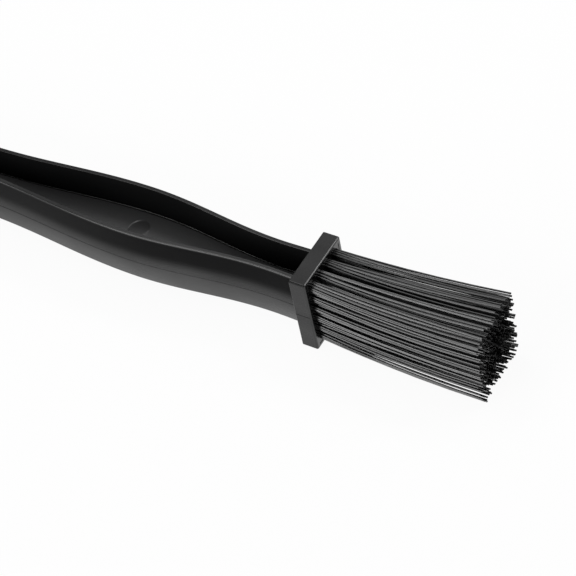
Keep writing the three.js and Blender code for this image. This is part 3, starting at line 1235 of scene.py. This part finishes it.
def short_pad(name: str, facing: Facing, columns: int, seed: int) -> TuftPad:
    """A short pad in the fork, whose tufts are fuller and tidier than the long ones.

    Args:
        name: the pad's name.
        facing: the way that its bristles point.
        columns: its columns of tufts.
        seed: where its random numbers start.

    Returns:
        The pad.
    """
    return TuftPad(
        name, facing, Slot.SHORT, rows=3, columns=columns, tuft_radius=2.3 * MM, stations=4, seed=seed,
        rings=((1, 0.0), (6, 0.25), (12, 0.5), (18, 0.75), (24, 1.0)), strand_radius=0.22 * MM,
        clump=0.1, tuft_stray=0.1 * MM, stray=0.2 * MM, uneven=0.3 * MM,
    )


@dataclass
class TuftPlate:
    """A CAD plate that keeps its shape and gets a finish."""

    node: str

    def dress(self, plastic: bpy.types.Material) -> None:
        """Puts the finish on the plate.

        Args:
            plastic: the finish.
        """
        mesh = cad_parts[self.node].data
        mesh.materials.clear()
        mesh.materials.append(plastic)
        LOG.info("%s: dressed", self.node)


@dataclass
class Softbox:
    """A studio lamp with a soft rectangular face that is turned to the brush."""

    name: str
    towards: tuple[float, float, float]
    distance: float
    width: float
    height: float
    radiance: float
    turn: float = 0.0

    def build(self, target: Vector) -> None:
        """Makes the lamp.

        Args:
            target: the point that it lights.
        """
        lamp = bpy.data.lights.new(self.name, "AREA")
        lamp.shape = "RECTANGLE"
        lamp.size = self.width
        lamp.size_y = self.height
        lamp.energy = LAMP_POWER * self.width * self.height * self.radiance
        made = bpy.data.objects.new(self.name, lamp)
        away = Vector(self.towards).normalized()
        aim = away.to_track_quat("Z", "Y").to_matrix().to_4x4()
        turn = Matrix.Rotation(math.radians(self.turn), 4, "Z")
        made.matrix_world = Matrix.Translation(target + away * self.distance) @ aim @ turn
        bpy.context.scene.collection.objects.link(made)


LAMPS = (
    Softbox("overhead", (-0.43, 0.05, 0.9), distance=0.8, width=0.45, height=0.25, radiance=5.6),
    Softbox("front_left", (-0.43, -0.82, 0.38), distance=1.2, width=0.85, height=0.85, radiance=4.5),
    Softbox("back_left", (-0.44, 0.45, 0.78), distance=0.9, width=0.6, height=0.55, radiance=1.5),
    Softbox(
        "back_right", (0.43, 0.51, 0.74), distance=0.8, width=0.15, height=0.75, radiance=7.0, turn=-41.6
    ),
    Softbox("far_side", (0.1, 0.9, 0.3), distance=1.2, width=0.9, height=0.5, radiance=2.5),
)


@dataclass
class Studio:
    """The pale floor, the lamps, the world and the camera, which looks at a point near the collar's back."""

    collar_back: float
    middle: float
    target_behind: float = 6.233 * MM
    target_across: float = -2.442 * MM
    azimuth: float = 39.967
    elevation: float = 47.967
    roll: float = -13.223
    distance: float = 500.928 * MM
    lens: float = 119.92
    sensor: float = 36.0
    floor_radius: float = 6.0
    floor_sides: int = 64
    floor_drop: float = 0.02 * MM
    world_dim: float = 0.05
    walls_seen: float = 0.9
    ceiling_seen: float = 0.06
    ceiling_start: float = 0.2
    ceiling_full: float = 0.45

    def target(self) -> Vector:
        """The point that the camera and the lamps are turned to."""
        return Vector((self.collar_back - self.target_behind, self.target_across, self.middle))

    def camera(self) -> None:
        """Makes the camera: turned round the brush, raised, and rolled about its own line of sight."""
        turn, rise, roll = (math.radians(angle) for angle in (self.azimuth, self.elevation, self.roll))
        back = Vector((math.sin(turn) * math.cos(rise), -math.cos(turn) * math.cos(rise), math.sin(rise)))
        level = Vector((math.cos(turn), math.sin(turn), 0.0))
        over = back.cross(level)
        right = math.cos(roll) * level + math.sin(roll) * over
        upright = math.cos(roll) * over - math.sin(roll) * level
        data = bpy.data.cameras.new("camera")
        data.lens = self.lens
        data.sensor_width = self.sensor
        made = bpy.data.objects.new("camera", data)
        bpy.context.scene.collection.objects.link(made)
        axes = Matrix((right, upright, back)).transposed().to_4x4()
        made.matrix_world = Matrix.Translation(self.target() + self.distance * back) @ axes
        bpy.context.scene.camera = made

    def floor(self) -> None:
        """Makes the floor: a wide flat disc just under the brush."""
        around = np.arange(self.floor_sides)
        rim = self.floor_radius * spokes(2.0 * np.pi * around / self.floor_sides)
        surface = Surface(side_by_side(*rim.T, -self.floor_drop), np.zeros((0, 4), int), [around])
        surface.piece("floor", [PaleFloor("pale_floor").material()])

    def world(self) -> None:
        """Makes the world: a dim even light, seen directly as pale walls under a dark ceiling."""
        world = bpy.data.worlds.new("studio")
        world.use_nodes = True
        bpy.context.scene.world = world
        graph = Graph(world.node_tree)
        dim = graph.node("ShaderNodeBackground", {"Color": WHITE, "Strength": self.world_dim})
        direction = graph.node("ShaderNodeTexCoord").outputs["Generated"]
        height = graph.node("ShaderNodeSeparateXYZ", {"Vector": direction}).outputs["Z"]
        inputs = {"Value": height, "From Min": self.ceiling_start, "From Max": self.ceiling_full}
        rise = graph.value("ShaderNodeMapRange", inputs, interpolation_type="SMOOTHSTEP")
        shade = graph.blend(rise, (self.walls_seen,) * 3, (self.ceiling_seen,) * 3)
        pale = graph.node("ShaderNodeBackground", {"Color": shade, "Strength": 1.0})
        mixed = graph.mix(graph.seen_directly(), dim, pale)
        graph.node("ShaderNodeOutputWorld", {"Surface": mixed.outputs[0]})

    def build(self, lamps: Sequence[Softbox]) -> None:
        """Makes the whole studio.

        Args:
            lamps: the lamps to light it with.
        """
        self.camera()
        self.floor()
        self.world()
        for lamp in lamps:
            lamp.build(self.target())
        bpy.context.scene.view_settings.view_transform = "Standard"


def main() -> None:
    """Builds the brush's pieces in order, then the studio."""
    logging.basicConfig(level=logging.INFO, format="%(message)s")
    low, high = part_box(MOULDING)
    middle = (low.z + high.z) / 2
    collar_back = high.x - COLLAR_DEPTH
    _, plate_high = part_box("long_tuft_plate")
    arm_low, arm_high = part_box("left_arm_tuft_plate")
    _, base_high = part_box("fork_base_tuft_plate")

    plastic = MouldedPlastic("satin_black_plastic").material()
    plate_plastic = MouldedPlastic("plate_plastic", gloss=1.0).material()
    nylon = ExtrudedNylon("black_nylon").material()
    cut = CutNylon("cut_nylon").material()

    handle = HandleBeam(front=collar_back, middle=middle)
    collar = Collar(
        back=collar_back, front=high.x, middle=middle,
        half_width=plate_high.y + PLATE_FIT + RIM_WALL, half_height=(high.z - low.z) / 2,
    )
    fork = ChainFork(
        front=collar_back - handle.length(), back=low.x, inner=high.y - FORK_THICKNESS, outer=high.y,
        low=low.z, high=high.z, middle=middle,
        arm_pocket=(arm_low.x - PLATE_FIT, arm_high.x + PLATE_FIT), base_pocket=base_high.y + PLATE_FIT,
    )
    for part in (handle, collar, fork):
        part.build(plastic)
    pads = (
        long_pad(),
        short_pad("left_arm", Facing.RIGHT, columns=4, seed=21),
        short_pad("right_arm", Facing.LEFT, columns=4, seed=22),
        short_pad("fork_base", Facing.BACK, columns=2, seed=23),
    )
    for pad in pads:
        TuftPlate(f"{pad.name}_tuft_plate").dress(plate_plastic)
        pad.build(nylon, cut)
    Studio(collar_back=collar_back, middle=middle).build(LAMPS)


if __name__ == "__main__":
    main()
